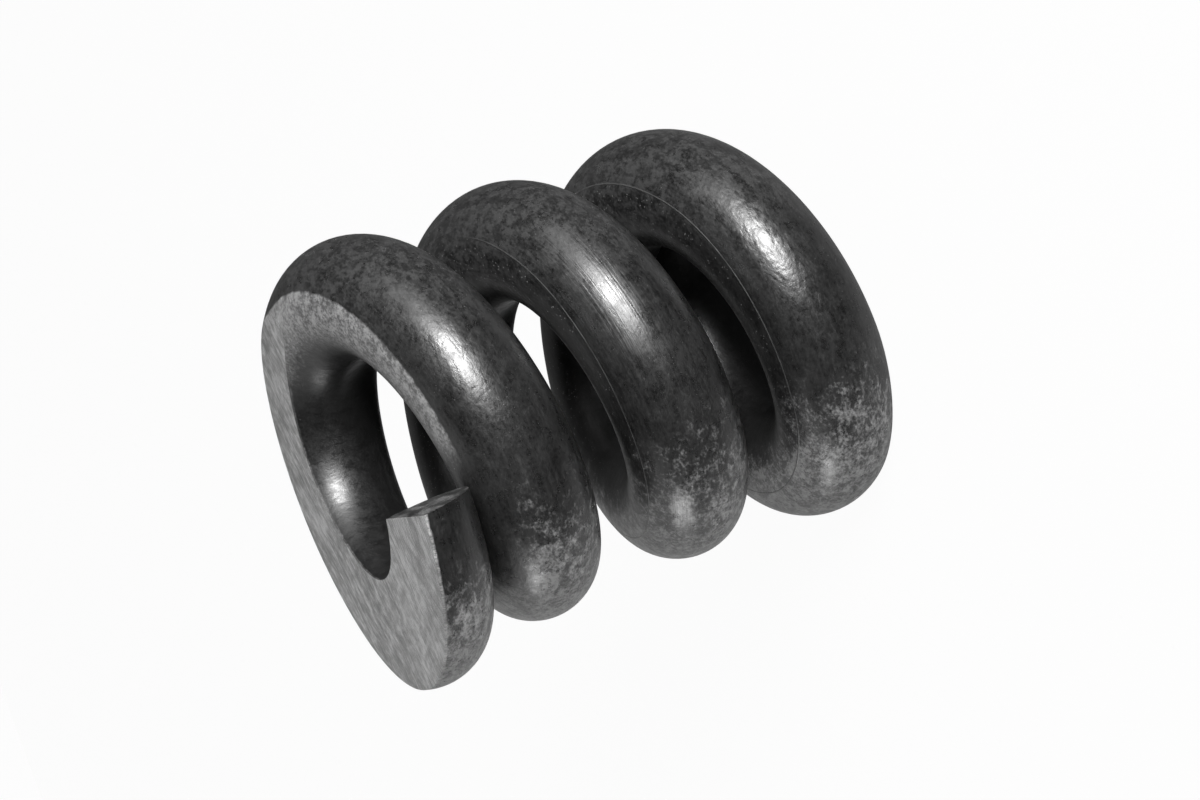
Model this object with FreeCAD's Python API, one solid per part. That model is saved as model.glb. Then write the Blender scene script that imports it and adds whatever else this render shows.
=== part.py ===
import FreeCAD, Part
import math
import os

from FreeCAD import Rotation, Vector

# Plunger spring: a short, stiff compression spring, wound right-handed from one length of heavy
# round wire. Its two end turns are closed, sheared off and ground flat, and it stands on the lower
# one, with the middle of its coil on Z. Places along the wire are counted in turns from a tip.

# Wire and coil, in millimetres and turns
wire_diameter = 8.0
mean_diameter = 20.64
coil_gap = 3.4
active_turns = 1.612

# The coil's axis leans a little out of square with the ground faces, in degrees
axis_lean = 2.76
axis_lean_azimuth = -121.4

# Closed end turns: they lie nearly flat, then climb over their own tip to join the active turns
end_gap = 0.1
blend_turns = 0.164
upper_end_pitch = 6.87
upper_climb_turns = 0.372
lower_end_pitch = 4.9
lower_climb_turns = 0.6

# The end turns are wound a little wider than the active ones
upper_swell = 1.59
upper_swell_turns = 0.098
upper_swell_fade_turns = 0.29
lower_swell = 1.1
lower_swell_turns = 0.242
lower_swell_fade_turns = 0.68

# Wire left at the tips after grinding, and the slant of the shear across the wire, in degrees
upper_tip_thickness = 4.17
lower_tip_thickness = 4.92
tip_slant = 13.0
upper_tip_azimuth = -105.9

# The centre line is drawn as pairs of tangent arcs, so many pairs to a turn
arc_pairs_per_turn = 8

pitch = wire_diameter + coil_gap
wire_radius = wire_diameter / 2.0
mean_radius = mean_diameter / 2.0
total_turns = active_turns + 2.0
half_turns = total_turns / 2.0
helix_angle = math.atan(pitch / (math.pi * mean_diameter))
lean_way = math.radians(axis_lean_azimuth)
leaning = Rotation(Vector(-math.sin(lean_way), math.cos(lean_way), 0.0), axis_lean)
coil_axis = leaning.multVec(Vector(0.0, 0.0, 1.0))


def smooth_step(u):
    """Rise from 0 to 1 as u does, with level ends."""
    u = min(max(u, 0.0), 1.0)
    return u * u * (3.0 - 2.0 * u)


def smooth_area(u):
    """Area under smooth_step from 0 to u."""
    if u <= 0.0:
        return 0.0
    if u >= 1.0:
        return u - 0.5
    return u ** 3 - u ** 4 / 2.0


def turns_past_closed(turns, climb_turns):
    """Turns spent past the closed stretch."""
    return blend_turns * smooth_area((turns - 1.0 + climb_turns) / blend_turns)


def turns_at_pitch(turns):
    """Turns spent at the active pitch, which begins one turn from the tip."""
    return blend_turns * smooth_area((turns - 1.0) / blend_turns + 0.5)


def climb_pitch(end_pitch, climb_turns):
    """Pitch of the climb, which clears the tip by the end gap one turn on."""
    past = turns_past_closed(1.0, climb_turns)
    active = turns_at_pitch(1.0)
    rise = (wire_diameter + end_gap) / math.cos(helix_angle)
    return (rise - end_pitch * (1.0 - past) - pitch * active) / (past - active)


def end_height(turns, end_pitch, climb_turns):
    """How far the wire's centre has moved along the coil's axis, so many turns from a tip."""
    past = turns_past_closed(turns, climb_turns)
    active = turns_at_pitch(turns)
    climb = climb_pitch(end_pitch, climb_turns) * (past - active)
    return end_pitch * (turns - past) + climb + pitch * active


def upper_height(turns):
    """Distance along the coil's axis from the upper tip."""
    return end_height(turns, upper_end_pitch, upper_climb_turns)


def lower_height(turns):
    """Distance along the coil's axis from the lower tip."""
    return end_height(turns, lower_end_pitch, lower_climb_turns)


def swelling(turns, swell, hold, fade):
    """How far an end turn stands outside the active turns."""
    return swell * (1.0 - smooth_step((turns - hold) / fade))


half_length = (upper_height(half_turns) + lower_height(half_turns)) / 2.0


def leaning_centre(turns):
    """Centre of the wire, so many turns up from the lower tip, measured from the coil's middle."""
    from_top = total_turns - turns
    radius = mean_radius
    radius += swelling(turns, lower_swell, lower_swell_turns, lower_swell_fade_turns)
    radius += swelling(from_top, upper_swell, upper_swell_turns, upper_swell_fade_turns)
    if turns < half_turns:
        height = lower_height(turns) - half_length
    else:
        height = half_length - upper_height(from_top)
    azimuth = math.radians(upper_tip_azimuth - 360.0 * from_top)
    return leaning.multVec(Vector(radius * math.cos(azimuth), radius * math.sin(azimuth), height))


# Heights with the lower ground face at zero
middle_height = lower_tip_thickness - wire_radius - leaning_centre(0.0).z
upper_tip_height = middle_height + leaning_centre(total_turns).z
free_length = upper_tip_height - wire_radius + upper_tip_thickness


def wire_centre(turns):
    """Centre of the wire, so many turns up from the lower tip."""
    return leaning_centre(turns) + Vector(0.0, 0.0, middle_height)


def wire_direction(turns):
    """Unit vector along the wire, going up."""
    step = 0.0001
    return (wire_centre(turns + step) - wire_centre(turns - step)).normalize()


def arc_under(start, crown, end):
    """Arc from start to end whose end tangents meet at the crown."""
    middle = (start + end) * 0.5
    slimness = (end - start).Length / (2.0 * (crown - start).Length)
    top = middle + (crown - middle) * (slimness / (1.0 + slimness))
    return Part.Arc(start, top, end).toShape()


def arc_pair(start, start_way, end, end_way):
    """Two arcs from start to end, tangent to the given directions and to each other."""
    chord = end - start
    spread = 2.0 * (1.0 - start_way.dot(end_way))
    advance = chord.dot(start_way + end_way)
    reach = (math.sqrt(advance ** 2 + spread * chord.dot(chord)) - advance) / spread
    first_crown = start + start_way * reach
    second_crown = end - end_way * reach
    joint = (first_crown + second_crown) * 0.5
    return [arc_under(start, first_crown, joint), arc_under(joint, second_crown, end)]


def wound_wire():
    """The wire as coiled: its round section swept along the centre line."""
    count = math.ceil(total_turns * arc_pairs_per_turn)
    places = [total_turns * i / count for i in range(count + 1)]
    arcs = []
    for low, high in zip(places, places[1:]):
        arcs += arc_pair(wire_centre(low), wire_direction(low), wire_centre(high), wire_direction(high))
    section = Part.Circle(wire_centre(0.0), wire_direction(0.0), wire_radius)
    return Part.Wire(arcs).makePipeShell([Part.Wire([section.toShape()])], True, False)


def between_ground_faces():
    """The space between the two ground faces, wider than the spring."""
    reach = mean_diameter + wire_diameter + upper_swell + lower_swell
    corner = Vector(-reach, -reach, 0.0)
    return Part.makeBox(2.0 * reach, 2.0 * reach, free_length, corner)


def sheared_off(tip, along):
    """The wedge that the slanted shear takes off a tip, from its outer corner; along leads into the wire."""
    arm = tip - Vector(0.0, 0.0, middle_height)
    outward = (arm - coil_axis * arm.dot(coil_axis)).normalize()
    inward = outward.cross(along)
    slant = math.tan(math.radians(tip_slant))
    corner = tip + outward * wire_radius - inward * wire_diameter
    ahead = corner - along * end_gap + outward * (end_gap / slant)
    behind = corner + (along * slant - outward) * (2.0 * wire_diameter)
    inner = ahead - outward * (2.0 * wire_diameter)
    wedge = Part.Face(Part.makePolygon([ahead, behind, inner, ahead]))
    return wedge.extrude(inward * (wire_diameter + wire_radius + end_gap / 2.0))


lower_waste = sheared_off(wire_centre(0.0), wire_direction(0.0))
upper_waste = sheared_off(wire_centre(total_turns), -wire_direction(total_turns))
spring = wound_wire().common(between_ground_faces()).cut([lower_waste, upper_waste])

os.makedirs("parts", exist_ok=True)
spring.Solids[0].exportStep("parts/plunger_spring.step")

print("free length", round(free_length, 2), "solids", len(spring.Solids), "valid", spring.isValid())
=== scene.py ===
"""Looks of the plunger spring: one coiled wire with ground ends, its blackened finish, and the studio."""
import logging
import math
from dataclasses import asdict, dataclass, field
from enum import Enum
from functools import reduce
from typing import Any, Union

import bmesh
import bpy
from mathutils import Matrix, Quaternion, Vector


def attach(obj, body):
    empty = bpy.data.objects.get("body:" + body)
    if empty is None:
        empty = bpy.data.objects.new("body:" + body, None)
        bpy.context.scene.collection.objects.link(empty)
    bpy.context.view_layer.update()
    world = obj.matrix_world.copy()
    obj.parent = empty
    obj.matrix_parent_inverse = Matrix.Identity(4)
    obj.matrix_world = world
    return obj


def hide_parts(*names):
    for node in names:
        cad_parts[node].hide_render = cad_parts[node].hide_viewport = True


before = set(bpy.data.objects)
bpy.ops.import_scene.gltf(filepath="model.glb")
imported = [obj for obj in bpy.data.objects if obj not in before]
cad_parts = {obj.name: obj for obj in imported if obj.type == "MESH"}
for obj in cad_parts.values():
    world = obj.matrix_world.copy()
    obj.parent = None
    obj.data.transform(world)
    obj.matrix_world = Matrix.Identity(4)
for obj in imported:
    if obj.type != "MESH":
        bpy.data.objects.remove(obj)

logging.basicConfig(level=logging.INFO, format="%(message)s")
LOG = logging.getLogger("plunger_spring")

NODE = "plunger_spring"
BODY = "root"
SLOT = "blackened_steel"
MILLIMETRE = 0.001
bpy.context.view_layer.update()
WIRE_PLACE = "wire_place"
GROUND_FACE = "ground_face"
SHEARED_FACE = "sheared_face"
Number = Union[int, float, "Value"]
Span = tuple[float, float]
Triple = tuple[float, float, float]


class End(Enum):
    """The spring's two ends."""

    UPPER = "upper"
    LOWER = "lower"


def smooth_step(u: float) -> float:
    """Rise from 0 to 1 as u does, with level ends."""
    u = min(max(u, 0.0), 1.0)
    return u * u * (3.0 - 2.0 * u)


def smooth_area(u: float) -> float:
    """Area under smooth_step from 0 to u.

    Args:
        u: where the area ends.

    Returns:
        The area.
    """
    if u <= 0.0:
        return 0.0
    if u >= 1.0:
        return u - 0.5
    return u ** 3 - u ** 4 / 2.0


@dataclass(frozen=True)
class EndTurn:
    """One closed end turn, in millimetres and turns from its tip."""

    pitch: float
    climb_turns: float
    swell: float
    swell_turns: float
    swell_fade_turns: float
    tip_thickness: float

    def swelling(self, turns: float) -> float:
        """How far the turn stands outside the active ones, so many turns from its tip."""
        return self.swell * (1.0 - smooth_step((turns - self.swell_turns) / self.swell_fade_turns))


@dataclass(frozen=True)
class Coil:
    """The centre line of the wire, in millimetres, turns down from the upper tip, and degrees."""

    wire_diameter: float = 8.0
    mean_diameter: float = 20.64
    coil_gap: float = 3.4
    active_turns: float = 1.612
    end_gap: float = 0.1
    blend_turns: float = 0.164
    tip_slant: float = 13.0
    upper_tip_azimuth: float = -105.9
    axis_lean: float = 2.76
    axis_lean_azimuth: float = -121.4
    upper: EndTurn = EndTurn(
        pitch=6.87, climb_turns=0.372, swell=1.59, swell_turns=0.098, swell_fade_turns=0.29,
        tip_thickness=4.17)
    lower: EndTurn = EndTurn(
        pitch=4.9, climb_turns=0.6, swell=1.1, swell_turns=0.242, swell_fade_turns=0.68,
        tip_thickness=4.92)

    @property
    def pitch(self) -> float:
        """Rise of one active turn."""
        return self.wire_diameter + self.coil_gap

    @property
    def wire_radius(self) -> float:
        """Half the wire's thickness."""
        return self.wire_diameter / 2.0

    @property
    def total_turns(self) -> float:
        """Turns from tip to tip."""
        return self.active_turns + 2.0

    @property
    def circumference(self) -> float:
        """Length of one active turn's centre line, seen along the axis."""
        return math.pi * self.mean_diameter

    @property
    def lean(self) -> Quaternion:
        """The turn that leans the coil's axis out of square with the ground faces."""
        way = math.radians(self.axis_lean_azimuth)
        return Quaternion(Vector((-math.sin(way), math.cos(way), 0.0)), math.radians(self.axis_lean))

    @property
    def middle_height(self) -> float:
        """Height of the coil's middle above the lower ground face."""
        return self.lower.tip_thickness - self.wire_radius - self.leaning(self.total_turns).z

    @property
    def free_length(self) -> float:
        """Height of the upper ground face above the lower one."""
        return self.centre(0.0).z - self.wire_radius + self.upper.tip_thickness

    def spent(self, turns: float, end: EndTurn) -> Span:
        """Turns spent past the closed stretch, and at the active pitch.

        Args:
            turns: place along the wire, in turns from that end's tip.
            end: the end turn that the wire starts with.

        Returns:
            Both counts.
        """
        past = self.blend_turns * smooth_area((turns - 1.0 + end.climb_turns) / self.blend_turns)
        active = self.blend_turns * smooth_area((turns - 1.0) / self.blend_turns + 0.5)
        return past, active

    def end_height(self, turns: float, end: EndTurn) -> float:
        """How far the wire has moved along the axis, so many turns from a tip.

        Args:
            turns: place along the wire, in turns from that end's tip.
            end: the end turn that the wire starts with.

        Returns:
            The distance along the axis in millimetres.
        """
        past, active = self.spent(1.0, end)
        helix_angle = math.atan(self.pitch / self.circumference)
        rise = (self.wire_diameter + self.end_gap) / math.cos(helix_angle)
        climb = (rise - end.pitch * (1.0 - past) - self.pitch * active) / (past - active)
        past, active = self.spent(turns, end)
        return end.pitch * (turns - past) + climb * (past - active) + self.pitch * active

    def leaning(self, turns: float) -> Vector:
        """Place on the centre line, measured from the coil's middle, with the coil leaning.

        Args:
            turns: place along the wire, in turns down from the upper tip.

        Returns:
            The point in millimetres.
        """
        half = self.total_turns / 2.0
        from_lower = self.total_turns - turns
        radius = self.mean_diameter / 2.0 + self.upper.swelling(turns) + self.lower.swelling(from_lower)
        reach = (self.end_height(half, self.upper) + self.end_height(half, self.lower)) / 2.0
        if turns < half:
            height = reach - self.end_height(turns, self.upper)
        else:
            height = self.end_height(from_lower, self.lower) - reach
        azimuth = math.radians(self.upper_tip_azimuth - 360.0 * turns)
        return self.lean @ Vector((radius * math.cos(azimuth), radius * math.sin(azimuth), height))

    def centre(self, turns: float) -> Vector:
        """Place on the centre line with the lower ground face at height zero."""
        return self.leaning(turns) + Vector((0.0, 0.0, self.middle_height))

    def section(self, turns: float) -> Matrix:
        """The frame of the wire's round section.

        Args:
            turns: place along the wire, in turns down from the upper tip.

        Returns:
            A matrix whose X leads outward, Y towards the upper end and Z down the wire.
        """
        step = 0.0001
        ahead = (self.leaning(turns + step) - self.leaning(turns - step)).normalized()
        outward = self.outward(turns)
        outward = (outward - ahead * outward.dot(ahead)).normalized()
        facing = Matrix((outward, ahead.cross(outward), ahead)).transposed().to_4x4()
        return Matrix.Translation(self.centre(turns)) @ facing

    def outward(self, turns: float) -> Vector:
        """Unit vector from the coil's leaning axis to the wire.

        Args:
            turns: place along the wire, in turns down from the upper tip.

        Returns:
            The direction, square to the coil's axis.
        """
        axis = self.lean @ Vector((0.0, 0.0, 1.0))
        arm = self.leaning(turns)
        return (arm - axis * arm.dot(axis)).normalized()


@dataclass(frozen=True)
class Band:
    """A range with soft edges on both sides."""

    low: float
    high: float
    soft: float


@dataclass(frozen=True)
class Cloud:
    """Cloudy noise: clouds to a unit, finer layers, their strength, and how far they are dragged about."""

    scale: float
    detail: float = 2.0
    roughness: float = 0.5
    distortion: float = 0.0


@dataclass(frozen=True)
class Weights:
    """Shares of the wire's noises in a mixture."""

    patches: float = 0.0
    mottle: float = 0.0
    blotch: float = 0.0
    grain: float = 0.0
    drawn: float = 0.0


@dataclass(frozen=True)
class PaintedGlint:
    """A spot painted bright as a glint where a highlight falls: its place in turns and degrees, and its
    reach in millimetres.
    """

    turns: float
    angle: float
    reach: float


class Value:
    """A number socket that arithmetic adds Math nodes to."""

    def __init__(self, tree: "NodeTree", socket: bpy.types.NodeSocket) -> None:
        """Keep the socket and the tree that it belongs to."""
        self.tree = tree
        self.socket = socket

    def __add__(self, other: Number) -> "Value":
        """Sum."""
        return self.tree.math("ADD", self, other)

    def __radd__(self, other: Number) -> "Value":
        """Sum with a plain number first."""
        return self.tree.math("ADD", other, self)

    def __sub__(self, other: Number) -> "Value":
        """Difference."""
        return self.tree.math("SUBTRACT", self, other)

    def __rsub__(self, other: Number) -> "Value":
        """Difference from a plain number."""
        return self.tree.math("SUBTRACT", other, self)

    def __mul__(self, other: Number) -> "Value":
        """Product."""
        return self.tree.math("MULTIPLY", self, other)

    def __rmul__(self, other: Number) -> "Value":
        """Product with a plain number first."""
        return self.tree.math("MULTIPLY", other, self)

    def __truediv__(self, other: Number) -> "Value":
        """Quotient."""
        return self.tree.math("DIVIDE", self, other)

    def __neg__(self) -> "Value":
        """The value with its sign changed."""
        return self.tree.math("MULTIPLY", self, -1.0)


def grey(tone: float) -> tuple[float, float, float, float]:
    """A neutral colour of that brightness."""
    return (tone, tone, tone, 1.0)


class NodeTree:
    """The nodes of one material or world."""

    def __init__(self, owner: Union[bpy.types.Material, bpy.types.World]) -> None:
        """Clear the owner's nodes.

        Args:
            owner: the material or world to build in.
        """
        owner.use_nodes = True
        self.nodes = owner.node_tree.nodes
        self.links = owner.node_tree.links
        self.nodes.clear()

    def node(self, kind: str, settings: dict[str, Any], sockets: dict[Any, Any]) -> bpy.types.Node:
        """Add one node.

        Args:
            kind: the node's type.
            settings: the node's own properties, set first.
            sockets: values or links of its inputs, by name or number.

        Returns:
            The new node.
        """
        made = self.nodes.new(kind)
        for name, setting in settings.items():
            setattr(made, name, setting)
        for name, value in sockets.items():
            if isinstance(value, Value):
                self.links.new(value.socket, made.inputs[name])
            elif isinstance(value, bpy.types.NodeSocket):
                self.links.new(value, made.inputs[name])
            else:
                made.inputs[name].default_value = value
        return made

    def math(self, operation: str, *values: Number) -> Value:
        """The result of a Math node, from numbers or links in order."""
        made = self.node("ShaderNodeMath", {"operation": operation}, dict(enumerate(values)))
        return Value(self, made.outputs[0])

    def largest(self, *values: Value) -> Value:
        """The largest of several values."""
        return reduce(lambda first, second: self.math("MAXIMUM", first, second), values)

    def length(self, x: Value, y: Value) -> Value:
        """How long a flat arrow with these two parts is."""
        return self.math("SQRT", x * x + y * y)

    def rise(self, value: Value, low: Number, high: Number) -> Value:
        """A smooth step of a value.

        Args:
            value: what is measured.
            low: where the step starts, at 0.
            high: where it ends, at 1.

        Returns:
            The step, from 0 to 1.
        """
        sockets = {"Value": value, "From Min": low, "From Max": high}
        made = self.node("ShaderNodeMapRange", {"interpolation_type": "SMOOTHSTEP"}, sockets)
        return Value(self, made.outputs["Result"])

    def within(self, value: Value, band: Band) -> Value:
        """A mask of a value that lies in a band.

        Args:
            value: what is measured.
            band: the range, with its soft edges.

        Returns:
            The mask.
        """
        entered = self.rise(value, band.low - band.soft, band.low + band.soft)
        left = self.rise(value, band.high - band.soft, band.high + band.soft)
        return entered * (1.0 - left)

    def parts(self, vector: bpy.types.NodeSocket) -> tuple[Value, Value, Value]:
        """The three parts of a vector."""
        made = self.node("ShaderNodeSeparateXYZ", {}, {0: vector})
        return tuple(Value(self, made.outputs[name]) for name in "XYZ")

    def scaled(self, vector: bpy.types.NodeSocket, scale: Triple) -> bpy.types.NodeSocket:
        """A vector with each part multiplied."""
        made = self.node("ShaderNodeVectorMath", {"operation": "MULTIPLY"}, {0: vector, 1: scale})
        return made.outputs[0]

    def noise(self, vector: bpy.types.NodeSocket, cloud: Cloud) -> Value:
        """Cloudy noise, about 0 to 1.

        Args:
            vector: where it is read.
            cloud: its settings, which are named as the node's sockets are.

        Returns:
            The noise.
        """
        sockets = {name.capitalize(): setting for name, setting in asdict(cloud).items()}
        made = self.node("ShaderNodeTexNoise", {}, {"Vector": vector, **sockets})
        return Value(self, made.outputs["Fac"])

    def grains(self, vector: bpy.types.NodeSocket, scale: float, size: Number) -> Value:
        """A mask of scattered round grains, so many to a unit, with sizes as shares of their cells."""
        made = self.node("ShaderNodeTexVoronoi", {}, {"Vector": vector, "Scale": scale})
        return 1.0 - self.rise(Value(self, made.outputs["Distance"]), 0.0, size)

    def blend(self, factor: Number, first: Any, second: Any) -> bpy.types.NodeSocket:
        """A colour between two, with the factor as the second one's share."""
        made = self.node("ShaderNodeMix", {"data_type": "RGBA"}, {0: factor, 6: first, 7: second})
        return made.outputs[2]

    def tones(self, factor: Number, between: Span) -> bpy.types.NodeSocket:
        """A grey between two tones."""
        return self.blend(factor, grey(between[0]), grey(between[1]))


@dataclass
class WireCoordinates:
    """Where a point of the wire's surface is, as sockets of one material."""

    tree: NodeTree
    coil: Coil

    def __post_init__(self) -> None:
        """Read the mesh's attributes and the Object coordinates, in millimetres, turns and degrees."""
        tree = self.tree
        self.place = self.attribute(WIRE_PLACE).outputs["Vector"]
        along, outward, over = tree.parts(self.place)
        self.turns = along / self.coil.circumference
        self.around = tree.math("ARCTAN2", over, outward) * math.degrees(1.0)
        spot = tree.node("ShaderNodeTexCoord", {}, {}).outputs["Object"]
        self.spot = tree.scaled(spot, (1.0 / MILLIMETRE,) * 3)
        self.x, self.y, self.z = tree.parts(self.spot)
        self.below_end = tree.math("MINIMUM", self.coil.free_length - self.z, self.z)
        self.ground = Value(tree, self.attribute(GROUND_FACE).outputs["Fac"])
        self.sheared = Value(tree, self.attribute(SHEARED_FACE).outputs["Fac"])

    def attribute(self, name: str) -> bpy.types.Node:
        """The node that reads one of the mesh's attributes."""
        return self.tree.node("ShaderNodeAttribute", {"attribute_name": name}, {})


@dataclass(frozen=True)
class BlackenedSteel:
    """The wire's dark scale, abraded bright in places, and the bare steel of its ground and sheared ends.
    Part of it is painted light and shade: shade on the sides that face the bore and the other turns, bounce
    light on one side, sheen on the other, glint spots, and highlights along the ground faces' edges.

    Tones are linear, sizes in millimetres and turns down from the upper tip, angles in degrees round
    the wire from its outer side towards the upper end. A pair is where something starts and is full.
    """

    # Tones, dark and light
    scale_tones: Span = (0.003, 0.030)
    worn_tones: Span = (0.12, 0.44)
    bare_tones: Span = (0.26, 0.82)
    sheared_tones: Span = (0.05, 0.24)
    dull_tone: float = 0.06
    thin_tone: float = 0.40
    line_tone: float = 0.07
    dust_tone: float = 0.40

    # Noises along the wire, from wide to fine, with one drawn out along it
    patches: Cloud = Cloud(0.32, 4.0, 0.6, 0.5)
    mottle: Cloud = Cloud(1.3, 4.0, 0.62, 0.2)
    blotch: Cloud = Cloud(1.5, 3.0, 0.58, 0.4)
    peel: Cloud = Cloud(2.6)
    grain: Cloud = Cloud(5.0, 3.0, 0.7)
    drawn: Cloud = Cloud(5.0, 3.0, 0.6)
    drawn_stretch: Triple = (0.05, 1.0, 1.0)

    # Black scale, with painted shade that darkens the sides that face the bore and the other turns
    tone_weights: Weights = Weights(patches=0.35, mottle=0.25, grain=0.4, drawn=0.3)
    tone_range: Span = (0.41, 0.89)
    hidden_over: Span = (62.0, 92.0)
    hidden_under: Span = (120.0, 150.0)
    hidden_dark: float = 0.6

    # Dull haze on the side away from the rubbed one, partly painted sheen that lightens that side in patches
    haze_reach: Span = (3.0, 10.0)
    haze_weights: Weights = Weights(blotch=0.6, grain=0.4)
    haze_range: Span = (0.43, 0.6)
    haze_dulling: float = 0.65
    rubbed_dulling: float = 0.5

    # The rubbed side, lightened partly by painted bounce light, and the stretch that the tip shelters
    rubbed_reach: Span = (2.5, 13.5)
    rubbed_drift: float = 9.0
    rubbed_turns: Span = (0.02, 0.08)
    rubbed_angles: Band = Band(-115.0, 115.0, 20.0)
    sheltered_turns: Band = Band(0.97, 1.12, 0.04)
    sheltered_angles: Band = Band(35.0, 120.0, 12.0)
    shelter: float = 0.8

    # Scale worn thin on the rubbed side, in light patches that are partly real wear and partly painted
    # bounce light
    wear_weights: Weights = Weights(mottle=0.2, blotch=0.4, grain=0.4)
    wear_range: Span = (0.41, 0.61)
    wear_onset: Span = (0.0, 0.3)
    wear_least: float = 0.2
    wear_unrubbed: float = 0.12
    wear_glint: float = 0.08
    thin_share: float = 0.6
    thin_grain: float = 0.5

    # Painted glints: spots painted bright and metallic where highlights fall, long along the wire
    glints: tuple[PaintedGlint, ...] = (PaintedGlint(1.089, 15.4, 1.3), PaintedGlint(2.08, 39.9, 1.5), PaintedGlint(3.122, 70.7, 1.3))
    glint_along: float = 0.548
    glint_across: float = 1.265
    glint_metal: float = 0.4

    # The thin line that coiling has left along the wire
    line_angles: Band = Band(68.9, 70.1, 0.6)
    line_turns: Span = (1.7, 1.85)
    line_drift: float = 16.0
    line_drift_noise: Cloud = Cloud(0.05)
    line_break_noise: Cloud = Cloud(0.7)
    line_break: Span = (0.18, 0.5)

    # Dust, in larger grains on the upper side
    dust_cells: float = 3.6
    dust_size: float = 0.08
    dust_extra: float = 0.12
    dust_angles: Band = Band(72.0, 125.0, 6.0)
    dust_noise: Cloud = Cloud(0.9)
    dust_gather: Span = (0.36, 0.54)

    # The worn strip past the upper flat's feathered end
    strip_turns: Band = Band(0.60, 0.965, 0.02)
    strip_outer: Span = (66.5, 69.5)
    strip_inner: Span = (102.0, 134.0)
    strip_noise: Cloud = Cloud(1.3, 4.0, 0.65)
    speckle_noise: Cloud = Cloud(3.5, 3.0, 0.7)
    strip_turns_ragged: float = 0.06
    strip_outer_ragged: float = 5.0
    strip_inner_ragged: float = 30.0
    strip_inner_speckle: float = 40.0
    worn_weights: Weights = Weights(mottle=0.5, grain=0.5)
    worn_range: Span = (0.38, 0.62)
    worn_bareness: float = 0.7

    # Broken edges of the ground faces, partly bare steel and partly a painted highlight that a rounded edge
    # would catch, wider and brighter outside the upper tip
    edge_width: Span = (0.05, 0.13)
    edge_tip_width: Span = (0.05, 0.12)
    edge_noise: Cloud = Cloud(1.8, 3.0, 0.6)
    edge_ragged: float = 0.22
    edge_tip_turns: Span = (0.1, 0.2)
    edge_tip_angles: Span = (80.0, 100.0)
    edge_share: float = 0.24
    edge_tip_share: float = 0.48

    # Grinding scratches in two fans, the second with some deep ones
    grinding_centres: tuple[Span, Span] = ((-60.0, -14.0), (-44.0, -40.0))
    fan_shares: Span = (0.6, 0.4)
    fan_noise: Cloud = Cloud(1.0, 4.0, 0.7, 0.3)
    fan_across: float = 1000.0
    fan_along: float = 0.1
    bare_weights: Weights = Weights(patches=0.15, mottle=0.2)
    bare_scratches: float = 0.65
    bare_range: Span = (0.44, 0.575)
    deep_range: Span = (0.6, 0.68)
    deep_dark: float = 0.45

    # Where the ground face feathers out into the worn strip
    feather_turns: Span = (0.62, 0.76)
    feather_angles: Span = (85.0, 110.0)
    feather_drift: float = 0.1
    feather_share: float = 0.7

    # Torn steel of the sheared faces
    torn_noise: Cloud = Cloud(1.1, 4.0, 0.6)
    torn_stretch: Triple = (0.4, 0.4, 1.0)
    torn_range: Span = (0.42, 0.62)
    sheared_bareness: float = 0.7

    # Gloss
    gloss_index: float = 1.75
    bare_metal: float = 0.45
    roughness_least: float = 0.24
    roughness_weights: Weights = Weights(mottle=0.6, grain=0.4)
    roughness_range: Span = (0.3, 0.7)
    roughness_swing: float = 0.2
    bare_roughness: float = 0.18
    hidden_roughness: float = 0.05

    # Relief, which changes along the wire from mottled to drawn to peeled
    relief_depth: float = 0.04
    mottle_relief: float = 1.1
    mottle_loss: float = 0.6
    mottle_loss_turns: Span = (1.1, 1.6)
    drawn_relief: float = 0.1
    drawn_gain: float = 0.5
    drawn_turns: Band = Band(1.5, 2.25, 0.15)
    peel_relief: float = 0.1
    peel_gain: float = 0.7
    peel_turns: Span = (2.2, 2.7)
    grain_relief: float = 0.14
    hidden_smooth: float = 0.5
    scratch_relief: float = 1.2
    line_relief: float = 0.8

    def material(self, coil: Coil) -> bpy.types.Material:
        """Build the finish.

        Args:
            coil: the wire that it covers.

        Returns:
            The material.
        """
        made = bpy.data.materials.new(SLOT)
        at = WireCoordinates(NodeTree(made), coil)
        SteelSurface(self, at).shade()
        return made


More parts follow.
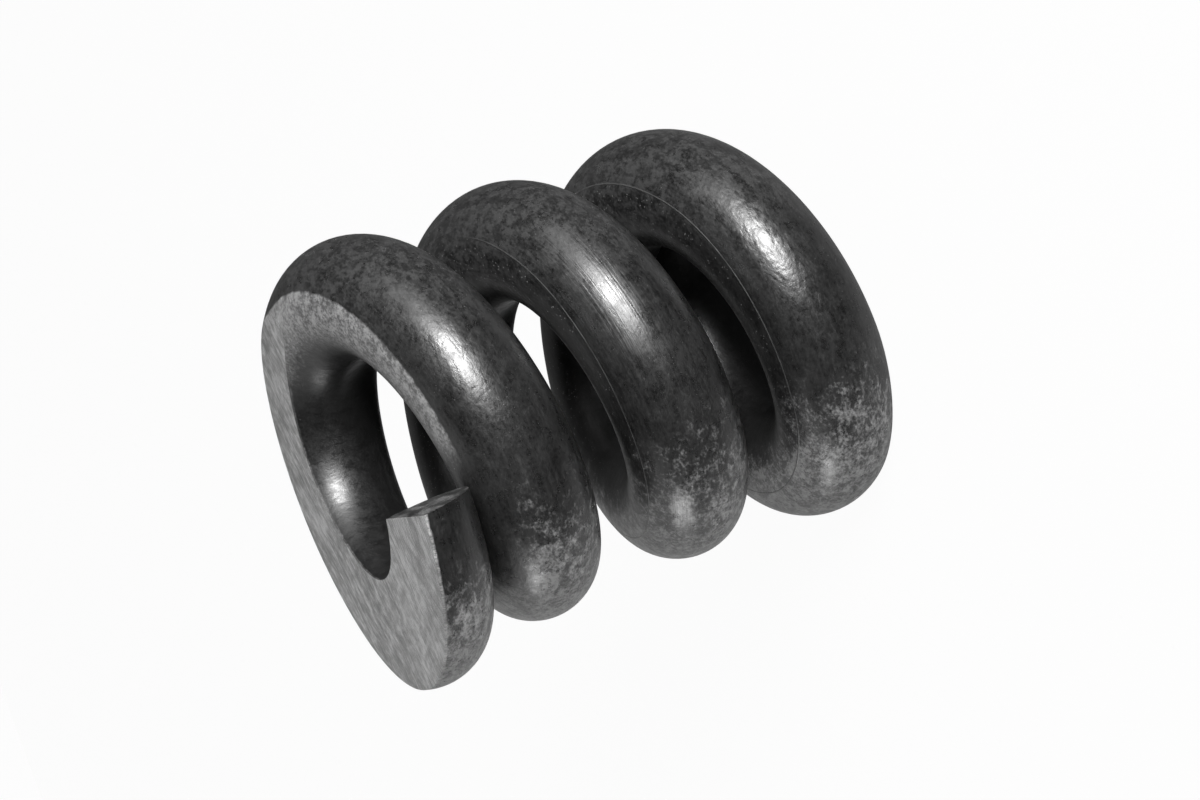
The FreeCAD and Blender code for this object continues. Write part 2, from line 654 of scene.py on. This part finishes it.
class SteelSurface:
    """The nodes of one blackened steel material, mixed from noises and masks along the wire."""

    def __init__(self, finish: BlackenedSteel, at: WireCoordinates) -> None:
        """Add the noises and masks that colour, gloss and relief share.

        Args:
            finish: the finish's settings.
            at: the wire's coordinates.
        """
        self.finish = finish
        self.at = at
        self.tree = at.tree
        tree = at.tree
        self.patches = tree.noise(at.place, finish.patches)
        self.mottle = tree.noise(at.place, finish.mottle)
        self.blotch = tree.noise(at.place, finish.blotch)
        self.peel = tree.noise(at.place, finish.peel)
        self.grain = tree.noise(at.place, finish.grain)
        self.drawn = tree.noise(tree.scaled(at.place, finish.drawn_stretch), finish.drawn)
        hidden_under = tree.rise(-at.around, *finish.hidden_under)
        self.hidden = tree.rise(at.around, *finish.hidden_over) + hidden_under
        # Painted glints: spots painted bright where highlights fall.
        self.glints = tree.largest(*[self.glint_mask(glint) for glint in finish.glints])
        self.rubbed = self.rubbed_mask()
        self.thin = self.thin_mask()
        self.line = self.line_mask()
        self.fans = [self.scratch_fan(centre) for centre in finish.grinding_centres]
        self.scratches = sum(fan * share for fan, share in zip(self.fans, finish.fan_shares))
        # The worn strip, and the ground faces' edges with their painted highlight.
        self.worn = tree.largest(self.strip_mask(), self.edge_mask()) * (1.0 - at.sheared)
        self.bare = tree.largest(at.ground, self.worn * finish.worn_bareness)

    def mixed(self, weights: Weights) -> Value:
        """A mixture of the wire's noises with the given shares."""
        return sum(getattr(self, name) * share for name, share in asdict(weights).items() if share)

    def ragged(self, cloud: Cloud) -> Value:
        """Noise along the wire, about zero in the middle."""
        return self.tree.noise(self.at.place, cloud) - 0.5

    def glint_mask(self, glint: PaintedGlint) -> Value:
        """One painted glint: a spot painted bright where a highlight falls.

        Args:
            glint: its place and reach.

        Returns:
            A mask, full in the middle of the spot.
        """
        coil = self.at.coil
        along = (self.at.turns - glint.turns) * coil.circumference
        across = (self.at.around - glint.angle) * math.radians(coil.wire_radius)
        away = self.tree.length(along * self.finish.glint_along, across * self.finish.glint_across)
        return 1.0 - self.tree.rise(away, 0.0, glint.reach)

    def rubbed_mask(self) -> Value:
        """The side that rubbing has dulled and that painted bounce light lightens, away from the tip and the
        bore.

        Returns:
            A mask.
        """
        finish, at, tree = self.finish, self.at, self.tree
        # Partly painted bounce light: this side is lightened in colour as well as rubbed.
        reach = (self.patches - 0.5) * finish.rubbed_drift - at.x
        rubbed = tree.rise(reach, *finish.rubbed_reach) * tree.rise(at.turns, *finish.rubbed_turns)
        sheltered = tree.within(at.turns, finish.sheltered_turns)
        sheltered = sheltered * tree.within(at.around, finish.sheltered_angles)
        return rubbed * tree.within(at.around, finish.rubbed_angles) * (1.0 - sheltered * finish.shelter)

    def thin_mask(self) -> Value:
        """Where the scale wears down to light patches, partly real abrasion and partly painted bounce light,
        made brighter by the painted glint spots.

        Returns:
            A mask.
        """
        finish, tree = self.finish, self.tree
        # Partly painted bounce light on the rubbed side, brightened further by the painted glints.
        wear_and_bounce_lit = self.mixed(finish.wear_weights) + self.glints * finish.wear_glint
        wear_and_bounce_lit = wear_and_bounce_lit - finish.wear_unrubbed * (1.0 - self.rubbed)
        thin = tree.rise(wear_and_bounce_lit, *finish.wear_range) * tree.rise(self.rubbed, *finish.wear_onset)
        return thin * (finish.wear_least + self.rubbed * (1.0 - finish.wear_least))

    def line_mask(self) -> Value:
        """The line that coiling has left along the wire, broken here and there.

        Returns:
            A mask.
        """
        finish, at, tree = self.finish, self.at, self.tree
        drift = self.ragged(finish.line_drift_noise) * finish.line_drift
        line = tree.within(at.around + drift, finish.line_angles)
        kept = tree.rise(tree.noise(at.place, finish.line_break_noise), *finish.line_break)
        return line * kept * tree.rise(at.turns, *finish.line_turns)

    def strip_mask(self) -> Value:
        """Bare steel past the upper flat's feathered end: crisp outside, speckled towards the bore.

        Returns:
            A mask.
        """
        finish, at, tree = self.finish, self.at, self.tree
        ragged = self.ragged(finish.strip_noise)
        stretch = tree.within(at.turns + ragged * finish.strip_turns_ragged, finish.strip_turns)
        outer = tree.rise(at.around + ragged * finish.strip_outer_ragged, *finish.strip_outer)
        speckle = self.ragged(finish.speckle_noise) * finish.strip_inner_speckle
        inner = tree.rise(at.around + speckle + ragged * finish.strip_inner_ragged, *finish.strip_inner)
        return stretch * outer * (1.0 - inner)

    def edge_mask(self) -> Value:
        """A narrow light line along the ground faces' edges: partly the bare steel of broken edges, partly a
        painted highlight that a rounded edge would catch.

        Returns:
            A mask.
        """
        finish, at, tree = self.finish, self.at, self.tree
        tip = 1.0 - tree.rise(at.turns, *finish.edge_tip_turns)
        tip = tip * (1.0 - tree.rise(at.around, *finish.edge_tip_angles))
        widths = zip(finish.edge_width, finish.edge_tip_width)
        start, full = (width + tip * extra for width, extra in widths)
        depth = at.below_end + self.ragged(finish.edge_noise) * finish.edge_ragged
        away = tree.rise(depth, start, full)
        return (1.0 - away) * (finish.edge_share + tip * finish.edge_tip_share)

    def scratch_fan(self, centre: Span) -> Value:
        """Grinding scratches that fan out from a point outside the face.

        Args:
            centre: that point.

        Returns:
            Streaky noise, about 0 to 1.
        """
        tree = self.tree
        dx = self.at.x - centre[0]
        dy = self.at.y - centre[1]
        across = tree.math("ARCTAN2", dy, dx) * self.finish.fan_across
        along = tree.length(dx, dy) * self.finish.fan_along
        fan = tree.node("ShaderNodeCombineXYZ", {}, {"X": across, "Y": along, "Z": self.at.z})
        return tree.noise(fan.outputs[0], self.finish.fan_noise)

    def dust_mask(self) -> Value:
        """Grains of dust.

        Returns:
            A mask.
        """
        finish, at, tree = self.finish, self.at, self.tree
        size = tree.within(at.around, finish.dust_angles) * finish.dust_extra + finish.dust_size
        gathered = tree.rise(tree.noise(at.place, finish.dust_noise), *finish.dust_gather)
        return tree.grains(at.place, finish.dust_cells, size) * gathered

    def scale_colour(self) -> bpy.types.NodeSocket:
        """Black scale with its dull, abraded, marked and dusty places, painted shade on the sides that face
        the bore and the other turns, partly painted bounce light and sheen on two sides, and painted glint
        spots.

        Returns:
            The colour.
        """
        finish, tree = self.finish, self.tree
        tone = tree.rise(self.mixed(finish.tone_weights), *finish.tone_range)
        # Painted shade: the scale is darker on the sides that face the bore and the other turns.
        colour = tree.tones(tone * (1.0 - self.hidden * finish.hidden_dark), finish.scale_tones)
        # Partly painted sheen: duller, lighter patches on the side towards +x.
        haze_and_sheen = tree.rise(self.mixed(finish.haze_weights), *finish.haze_range)
        haze_and_sheen = haze_and_sheen * tree.rise(self.at.x, *finish.haze_reach) * finish.haze_dulling
        layers = (
            # Partly painted bounce light: the rubbed side is dulled lighter and wears into light patches.
            (tree.largest(self.rubbed * finish.rubbed_dulling, haze_and_sheen), finish.dull_tone),
            (self.thin * (finish.thin_share + self.grain * finish.thin_grain), finish.thin_tone),
            (self.line, finish.line_tone),
            (self.dust_mask(), finish.dust_tone),
        )
        for share, layer_tone in layers:
            colour = tree.blend(share, colour, grey(layer_tone))
        return colour

    def ground_colour(self) -> bpy.types.NodeSocket:
        """Bare steel with its grinding scratches.

        Returns:
            The colour.
        """
        finish, tree = self.finish, self.tree
        mixture = self.scratches * finish.bare_scratches + self.mixed(finish.bare_weights)
        deep = tree.rise(self.fans[1], *finish.deep_range) * finish.deep_dark
        return tree.tones(tree.rise(mixture, *finish.bare_range) - deep, finish.bare_tones)

    def worn_colour(self, steel: bpy.types.NodeSocket) -> bpy.types.NodeSocket:
        """Bare steel where rubbing has taken the scale off, which the ground face feathers out into; it also
        lines the ground faces' edges as a painted highlight.

        Args:
            steel: the ground face's colour.

        Returns:
            The colour.
        """
        finish, at, tree = self.finish, self.at, self.tree
        worn = tree.tones(tree.rise(self.mixed(finish.worn_weights), *finish.worn_range), finish.worn_tones)
        past = tree.rise(at.turns + (self.mottle - 0.5) * finish.feather_drift, *finish.feather_turns)
        feather = (1.0 - past) * (1.0 - tree.rise(at.around, *finish.feather_angles))
        return tree.blend(feather * finish.feather_share, worn, steel)

    def colour(self) -> bpy.types.NodeSocket:
        """The whole wire's colour.

        Returns:
            The colour.
        """
        finish, at, tree = self.finish, self.at, self.tree
        steel = self.ground_colour()
        colour = tree.blend(self.worn, self.scale_colour(), self.worn_colour(steel))
        colour = tree.blend(at.ground, colour, steel)
        torn = tree.noise(tree.scaled(at.spot, finish.torn_stretch), finish.torn_noise)
        sheared = tree.tones(tree.rise(torn, *finish.torn_range), finish.sheared_tones)
        return tree.blend(at.sheared, colour, sheared)

    def roughness(self) -> Value:
        """How far reflections are blurred.

        Returns:
            The roughness.
        """
        finish = self.finish
        uneven = self.tree.rise(self.mixed(finish.roughness_weights), *finish.roughness_range)
        rough = finish.roughness_least + uneven * finish.roughness_swing
        return rough + self.bare * finish.bare_roughness + self.hidden * finish.hidden_roughness

    def metal(self) -> Value:
        """How far bare steel shows, and how metallic the painted glint spots are."""
        bare = self.tree.largest(self.bare, self.at.sheared * self.finish.sheared_bareness)
        return bare * self.finish.bare_metal + self.glints * self.thin * self.finish.glint_metal

    def relief(self) -> Value:
        """The height of the surface's fine unevenness.

        Returns:
            The height, as a share of the relief's depth.
        """
        finish, at, tree = self.finish, self.at, self.tree
        lost = tree.rise(at.turns, *finish.mottle_loss_turns) * finish.mottle_loss
        mottled = finish.mottle_relief - lost
        drawn = finish.drawn_relief + tree.within(at.turns, finish.drawn_turns) * finish.drawn_gain
        peeled = finish.peel_relief + tree.rise(at.turns, *finish.peel_turns) * finish.peel_gain
        relief = self.mottle * mottled + self.drawn * drawn + self.peel * peeled
        relief = relief + self.grain * finish.grain_relief
        relief = relief * (1.0 - self.hidden * finish.hidden_smooth) * (1.0 - at.ground)
        scratched = self.scratches * at.ground * finish.scratch_relief
        return relief + scratched + self.line * finish.line_relief

    def shade(self) -> None:
        """Join colour, gloss and relief in one shader."""
        tree = self.tree
        depth = self.finish.relief_depth * MILLIMETRE
        bump = tree.node("ShaderNodeBump", {}, {"Strength": 1.0, "Distance": depth, "Height": self.relief()})
        shader = tree.node("ShaderNodeBsdfPrincipled", {}, {
            "Base Color": self.colour(), "Roughness": self.roughness(), "Metallic": self.metal(),
            "Normal": bump.outputs[0], "IOR": self.finish.gloss_index})
        tree.node("ShaderNodeOutputMaterial", {}, {"Surface": shader.outputs[0]})


@dataclass
class Spring:
    """The spring's one piece: the wire, wound, sheared off and ground, in millimetres and turns."""

    coil: Coil = field(default_factory=Coil)
    finish: BlackenedSteel = field(default_factory=BlackenedSteel)
    steps_per_turn: int = 132
    sides: int = 72
    spare_turns: float = 0.03
    cut_tolerance: float = 0.0005

    def wind(self, wire: bmesh.types.BMesh) -> None:
        """Sweep the round section down the centre line, a little past both tips.

        Args:
            wire: the empty mesh to fill.
        """
        coil = self.coil
        layer = wire.verts.layers.float_vector.new(WIRE_PLACE)
        ring = bmesh.ops.create_circle(wire, radius=coil.wire_radius, segments=self.sides)["verts"]
        start = -self.spare_turns
        for vert in ring:
            vert[layer] = (start * coil.circumference, vert.co.x, vert.co.y)
        rim = list({edge for vert in ring for edge in vert.link_edges})
        here = coil.section(start)
        bmesh.ops.transform(wire, matrix=here, verts=ring)
        reach = coil.total_turns + 2.0 * self.spare_turns
        count = round(reach * self.steps_per_turn)
        for step in range(1, count + 1):
            turns = start + reach * step / count
            following = coil.section(turns)
            grown = bmesh.ops.extrude_edge_only(wire, edges=rim)["geom"]
            ring = [part for part in grown if isinstance(part, bmesh.types.BMVert)]
            fresh = set(ring)
            edges = [part for part in grown if isinstance(part, bmesh.types.BMEdge)]
            rim = [edge for edge in edges if fresh.issuperset(edge.verts)]
            bmesh.ops.transform(wire, matrix=following @ here.inverted(), verts=ring)
            for vert in ring:
                _, across, over = vert[layer]
                vert[layer] = (turns * coil.circumference, across, over)
            here = following

    def cut(self, wire: bmesh.types.BMesh, parts: list, point: Vector, waste: Vector, mark: str) -> None:
        """Cut parts of the mesh off along a plane and close the cut with a marked face.

        Args:
            wire: the mesh.
            parts: the vertices, edges and faces that the plane reaches.
            point: a point on the plane.
            waste: normal of the plane, towards what is cut off.
            mark: the face layer to set on the new face.
        """
        done = bmesh.ops.bisect_plane(
            wire, geom=parts, dist=self.cut_tolerance, plane_co=point, plane_no=waste, clear_outer=True)
        edges = [part for part in done["geom_cut"] if isinstance(part, bmesh.types.BMEdge)]
        rim = [edge for edge in edges if edge.is_boundary]
        face = bmesh.ops.contextual_create(wire, geom=rim)["faces"][0]
        layer = wire.faces.layers.float[mark]
        face[layer] = 1.0
        for edge in face.edges:
            edge.smooth = False

    def shear(self, wire: bmesh.types.BMesh, end: End) -> None:
        """Cut a tip off at a slant that starts at its outer corner.

        Args:
            wire: the mesh.
            end: which tip.
        """
        coil = self.coil
        tip = 0.0 if end is End.UPPER else coil.total_turns
        ahead = coil.section(tip).col[2].to_3d()
        into_wire = ahead if end is End.UPPER else -ahead
        outward = coil.outward(tip)
        slant = math.tan(math.radians(coil.tip_slant))
        layer = wire.verts.layers.float_vector[WIRE_PLACE]
        near = coil.wire_diameter / coil.circumference
        verts = [vert for vert in wire.verts if abs(vert[layer].x / coil.circumference - tip) < near]
        chosen = set(verts)
        edges = [edge for edge in wire.edges if chosen.issuperset(edge.verts)]
        faces = [face for face in wire.faces if chosen.issuperset(face.verts)]
        corner = coil.centre(tip) + outward * coil.wire_radius
        self.cut(wire, verts + edges + faces, corner, -(into_wire + outward * slant), SHEARED_FACE)

    def grind(self, wire: bmesh.types.BMesh, end: End) -> None:
        """Grind one end flat, square to the upright axis.

        Args:
            wire: the mesh.
            end: which end.
        """
        up = Vector((0.0, 0.0, 1.0))
        point = up * self.coil.free_length if end is End.UPPER else Vector()
        waste = up if end is End.UPPER else -up
        self.cut(wire, wire.verts[:] + wire.edges[:] + wire.faces[:], point, waste, GROUND_FACE)

    def build(self) -> bpy.types.Object:
        """Make the wire's mesh and dress it.

        Returns:
            The piece, in metres, placed in the shared frame.
        """
        wire = bmesh.new()
        self.wind(wire)
        wire.faces.layers.float.new(GROUND_FACE)
        wire.faces.layers.float.new(SHEARED_FACE)
        for end in End:
            self.shear(wire, end)
        for end in End:
            self.grind(wire, end)
        bmesh.ops.recalc_face_normals(wire, faces=wire.faces)
        flat = [wire.faces.layers.float[GROUND_FACE], wire.faces.layers.float[SHEARED_FACE]]
        for face in wire.faces:
            face.smooth = not any(face[layer] for layer in flat)
        wide = [face for face in wire.faces if len(face.verts) > 4]
        bmesh.ops.triangulate(wire, faces=wide, quad_method="BEAUTY", ngon_method="BEAUTY")
        bmesh.ops.scale(wire, vec=Vector((1.0, 1.0, 1.0)) * MILLIMETRE, verts=wire.verts)
        mesh = bpy.data.meshes.new("wound_wire")
        wire.to_mesh(mesh)
        wire.free()
        mesh.materials.append(self.finish.material(self.coil))
        piece = bpy.data.objects.new("wound_wire", mesh)
        bpy.context.scene.collection.objects.link(piece)
        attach(piece, BODY)
        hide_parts(NODE)
        return piece


@dataclass(frozen=True)
class WhitePaper:
    """Matt white paper that stays white in the picture and keeps soft shadows, in metres.

    In reflections it is dimmer: middling on the table's side, darker above, and nearly dark in front of
    the spring, where the room is, and in the bore.
    """

    white: float = 0.9
    glow: float = 0.96
    mirrored_dim: float = 0.03
    mirrored_table: float = 0.48
    mirrored_above: float = 0.11
    mirrored_from: Span = (-0.0165, -0.0125)
    mirrored_sides: Span = (-0.05, 0.05)
    bore_shade: Span = (0.008, 0.0115)

    def material(self) -> bpy.types.Material:
        """Build the finish.

        Returns:
            The material.
        """
        made = bpy.data.materials.new("white_paper")
        tree = NodeTree(made)
        path = tree.node("ShaderNodeLightPath", {}, {}).outputs
        seen = tree.largest(Value(tree, path["Is Camera Ray"]), Value(tree, path["Is Transmission Ray"]))
        mirrored = Value(tree, path["Is Glossy Ray"])
        x, y, _ = tree.parts(tree.node("ShaderNodeTexCoord", {}, {}).outputs["Object"])
        lit = tree.rise(y, *self.mirrored_from) * tree.rise(tree.length(x, y), *self.bore_shade)
        above = tree.rise(x, *self.mirrored_sides)
        tone = self.mirrored_table + above * (self.mirrored_above - self.mirrored_table)
        tone = self.mirrored_dim + lit * (tone - self.mirrored_dim)
        strength = seen + mirrored * tone
        matt = tree.node("ShaderNodeBsdfDiffuse", {}, {"Color": grey(self.white)})
        glow = tree.node("ShaderNodeEmission", {}, {"Color": grey(1.0), "Strength": strength})
        share = tree.largest(seen * self.glow, mirrored)
        both = tree.node("ShaderNodeMixShader", {}, {0: share, 1: matt.outputs[0], 2: glow.outputs[0]})
        tree.node("ShaderNodeOutputMaterial", {}, {"Surface": both.outputs[0]})
        return made


@dataclass(frozen=True)
class Softbox:
    """A rectangular lamp that faces the spring, in metres from the spring's middle."""

    name: str
    towards: Triple
    distance: float
    width: float
    height: float
    radiance: float

    def build(self, target: Vector) -> bpy.types.Object:
        """Hang the lamp.

        Args:
            target: what it faces.

        Returns:
            The lamp.
        """
        lamp = bpy.data.lights.new(self.name, "AREA")
        lamp.shape = "RECTANGLE"
        lamp.size = self.width
        lamp.size_y = self.height
        lamp.energy = self.radiance * math.pi * self.width * self.height
        made = bpy.data.objects.new(self.name, lamp)
        way = Vector(self.towards).normalized()
        made.location = target + way * self.distance
        made.rotation_euler = way.to_track_quat("Z", "Y").to_euler()
        bpy.context.scene.collection.objects.link(made)
        LOG.info("%s: lamp of radiance %.1f", self.name, self.radiance)
        return made


@dataclass
class Studio:
    """White paper under and behind the spring, a dim room, lamps and the photograph's camera.

    Sizes are in metres, the lens and its sensor in millimetres, and angles in degrees.
    """

    paper: WhitePaper = field(default_factory=WhitePaper)
    paper_size: float = 3.0
    paper_drop: float = 0.0002
    paper_behind: float = 0.6
    surroundings: float = 0.04
    lamps: tuple[Softbox, ...] = (
        Softbox("window", (0.42, -0.86, 0.29), 0.5, 0.22, 0.14, 36.0),
        Softbox("key", (0.58, -0.74, 0.36), 0.5, 0.70, 0.30, 1.45),
        Softbox("table_bounce", (-0.88, 0.35, 0.25), 0.6, 0.16, 0.12, 6.0),
    )
    camera_elevation: float = 20.63
    camera_roll: float = -109.97
    camera_lens: float = 74.32
    camera_sensor: float = 36.0
    camera_clip: Span = (0.005, 50.0)
    camera_distance: float = 0.16778
    aim_right: float = -0.002042
    aim_down: float = -0.001334

    def sheets(self) -> list[bpy.types.Object]:
        """Lay one sheet of the paper under the spring and stand one behind it.

        Returns:
            The two sheets.
        """
        paper = self.paper.material()
        size = self.paper_size
        lying = Matrix.Translation((0.0, 0.0, -self.paper_drop))
        upright = Matrix.Rotation(math.radians(90.0), 4, "X")
        standing = Matrix.Translation((0.0, self.paper_behind, size - self.paper_drop)) @ upright
        laid = []
        for name, at in (("floor", lying), ("backdrop", standing)):
            sheet = bmesh.new()
            bmesh.ops.create_grid(sheet, x_segments=1, y_segments=1, size=size, matrix=at)
            mesh = bpy.data.meshes.new(name)
            sheet.to_mesh(mesh)
            sheet.free()
            mesh.materials.append(paper)
            made = bpy.data.objects.new(name, mesh)
            bpy.context.scene.collection.objects.link(made)
            laid.append(made)
        return laid

    def world(self) -> None:
        """Surround the spring with the room's dim light."""
        world = bpy.data.worlds.new("surroundings")
        tree = NodeTree(world)
        sky = tree.node("ShaderNodeBackground", {}, {"Color": grey(self.surroundings), "Strength": 1.0})
        tree.node("ShaderNodeOutputWorld", {}, {"Surface": sky.outputs[0]})
        bpy.context.scene.world = world

    def camera(self, target: Vector) -> bpy.types.Object:
        """Set the camera up as the photograph's.

        Args:
            target: the spring's middle.

        Returns:
            The camera.
        """
        lens = bpy.data.cameras.new("photo_camera")
        lens.lens = self.camera_lens
        lens.sensor_width = self.camera_sensor
        lens.clip_start, lens.clip_end = self.camera_clip
        elevation = math.radians(self.camera_elevation)
        forward = Vector((0.0, math.cos(elevation), -math.sin(elevation)))
        level = Vector((1.0, 0.0, 0.0))
        turn = Quaternion(forward, -math.radians(self.camera_roll))
        right = turn @ level
        up = turn @ level.cross(forward)
        spot = target - right * self.aim_right + up * self.aim_down - forward * self.camera_distance
        made = bpy.data.objects.new("photo_camera", lens)
        made.matrix_world = Matrix.Translation(spot) @ Matrix((right, up, -forward)).transposed().to_4x4()
        bpy.context.scene.collection.objects.link(made)
        bpy.context.scene.camera = made
        return made

    def build(self, target: Vector) -> None:
        """Set the whole studio up.

        Args:
            target: the spring's middle.
        """
        for sheet in self.sheets():
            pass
        self.world()
        for lamp in self.lamps:
            lamp.build(target)
        self.camera(target)
        bpy.context.scene.view_settings.view_transform = "Standard"


def main() -> None:
    """Build the spring and its studio."""
    spring = Spring()
    piece = spring.build()
    length = spring.coil.free_length
    LOG.info("%s: %d faces, free length %.2f mm", piece.name, len(piece.data.polygons), length)
    Studio().build(Vector((0.0, 0.0, length / 2.0 * MILLIMETRE)))


if __name__ == "__main__":
    main()
